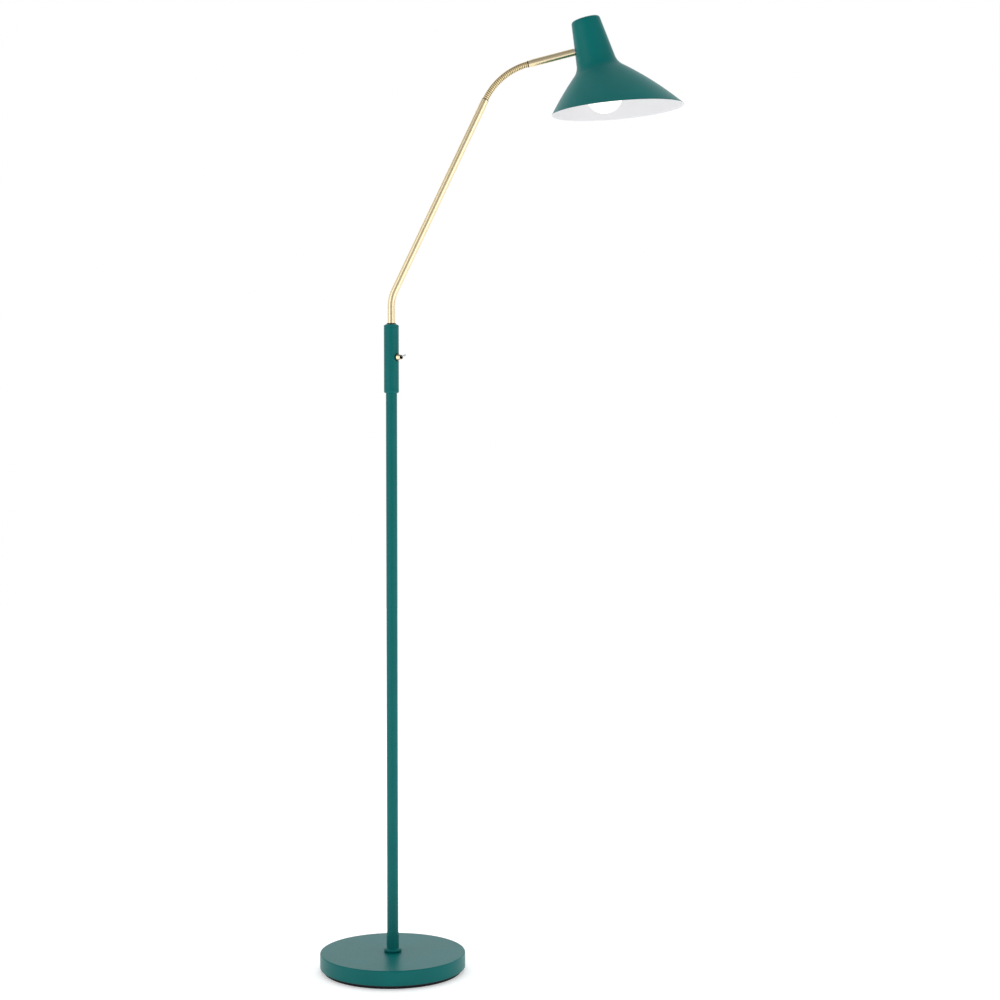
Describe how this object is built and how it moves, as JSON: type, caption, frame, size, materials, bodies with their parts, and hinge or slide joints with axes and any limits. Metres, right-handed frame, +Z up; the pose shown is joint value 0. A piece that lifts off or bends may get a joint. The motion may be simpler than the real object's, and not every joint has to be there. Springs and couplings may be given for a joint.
{
  "type": "adjustable arm floor lamp",
  "caption": "Floor lamp on a round weighted base, with a swivelling brass arm, a gooseneck and a slanted flared shade holding a pear bulb.",
  "frame": {"origin": "on the floor on the pole's axis", "axes": "+Z up the pole, +X the way the arm reaches at rest"},
  "size_m": [0.5849, 0.237, 1.5331],
  "materials": {
    "teal_paint": "satin powder coat",
    "shade_paint": "satin powder coat, white inside",
    "black_foam": "matt foam",
    "black_plastic": "matt moulded",
    "cast_iron": "rough cast",
    "plated_steel": "zinc plated",
    "black_steel": "black oxide",
    "nylon": "matt dark nylon",
    "brass": "lacquered satin brass",
    "flex": "matt sheath",
    "opal_glass": "opal"
  },
  "bodies": {
    "stand": {"base_pad": "black_foam", "base_tray": "black_plastic", "tray_screws": "plated_steel", "base_weight": "cast_iron", "base_spacer": "plated_steel", "base_shell": "teal_paint", "cord_gland": "flex", "base_nipple": "plated_steel", "nipple_washer": "plated_steel", "nipple_nut": "plated_steel", "pole_collar": "teal_paint", "pole_insert": "plated_steel", "pole": "teal_paint", "housing_bottom_cap": "teal_paint", "housing_grub_screws": "black_steel", "housing_sleeve": "teal_paint", "housing_top_cap": "teal_paint", "swivel_bush": "nylon", "swivel_shelf": "plated_steel", "thrust_washer": "nylon", "switch_body": "black_plastic", "switch_tags": "brass", "switch_bush": "black_steel", "switch_washer": "black_steel", "switch_nut": "brass", "mains_lead": "flex", "switch_wires": "flex"},
    "toggle": {"switch_lever": "plated_steel"},
    "arm": {"arm_tube": "brass", "arm_collar": "plated_steel", "arm_stop_pin": "plated_steel", "arm_lead": "flex", "gooseneck_foot": "black_steel"},
    "goose_01": {"gooseneck_link_01": "brass"},
    "goose_02": {"gooseneck_link_02": "brass"},
    "goose_03": {"gooseneck_link_03": "brass"},
    "goose_04": {"gooseneck_link_04": "brass"},
    "goose_05": {"gooseneck_link_05": "brass"},
    "head": {"gooseneck_head": "black_steel", "side_tube": "brass", "tube_nipple": "plated_steel", "neck_spacer": "plated_steel", "head_lead": "flex", "shade": "shade_paint", "holder_bracket": "plated_steel", "holder_nipple": "plated_steel", "head_locknuts": "plated_steel", "holder_cap": "black_plastic", "holder_body": "black_plastic", "holder_insert": "black_plastic", "holder_shell": "brass", "holder_contact": "brass", "bulb_cap": "plated_steel", "bulb_glass": "opal_glass"}
  },
  "joints": [
    {"name": "arm_swivel", "type": "hinge", "parent": "stand", "child": "arm", "pos_m": [0, 0, 1.0108], "axis": [0, 0, 1], "range_deg": [-160, 160]},
    {"name": "switch_toggle", "type": "hinge", "parent": "stand", "child": "toggle", "pos_m": [0.0127, -0.00889, 0.9915], "axis": [0.5736, 0.8192, 0], "range_deg": [0, 25]},
    {"name": "gooseneck_bend", "type": "hinge", "parent": "arm", "child": "goose_01", "pos_m": [0.15388, 0, 1.40689], "axis": [0, 1, 0], "range_deg": [-36, 20]},
    {"name": "gooseneck_sway", "type": "hinge", "parent": "goose_01", "child": "goose_02", "pos_m": [0.16241, 0, 1.41961], "axis": [-0.7876, 0, 0.6161], "range_deg": [-20, 20]},
    {"name": "gooseneck_bend_2", "type": "hinge", "parent": "goose_02", "child": "goose_03", "pos_m": [0.1727, 0, 1.43096], "axis": [0, 1, 0], "range_deg": [-36, 20]},
    {"name": "gooseneck_sway_2", "type": "hinge", "parent": "goose_03", "child": "goose_04", "pos_m": [0.18453, 0, 1.44071], "axis": [-0.5783, 0, 0.8158], "range_deg": [-20, 20]},
    {"name": "gooseneck_bend_3", "type": "hinge", "parent": "goose_04", "child": "goose_05", "pos_m": [0.19763, 0, 1.44864], "axis": [0, 1, 0], "range_deg": [-36, 20]},
    {"name": "gooseneck_sway_3", "type": "hinge", "parent": "goose_05", "child": "head", "pos_m": [0.21175, 0, 1.45459], "axis": [-0.3206, 0, 0.9472], "range_deg": [-20, 20]}
  ],
  "couplings": [
    {"joint": "gooseneck_bend_2", "follows": "gooseneck_bend", "ratio": 1},
    {"joint": "gooseneck_sway_2", "follows": "gooseneck_sway", "ratio": 1},
    {"joint": "gooseneck_bend_3", "follows": "gooseneck_bend", "ratio": 1},
    {"joint": "gooseneck_sway_3", "follows": "gooseneck_sway", "ratio": 1}
  ]
}
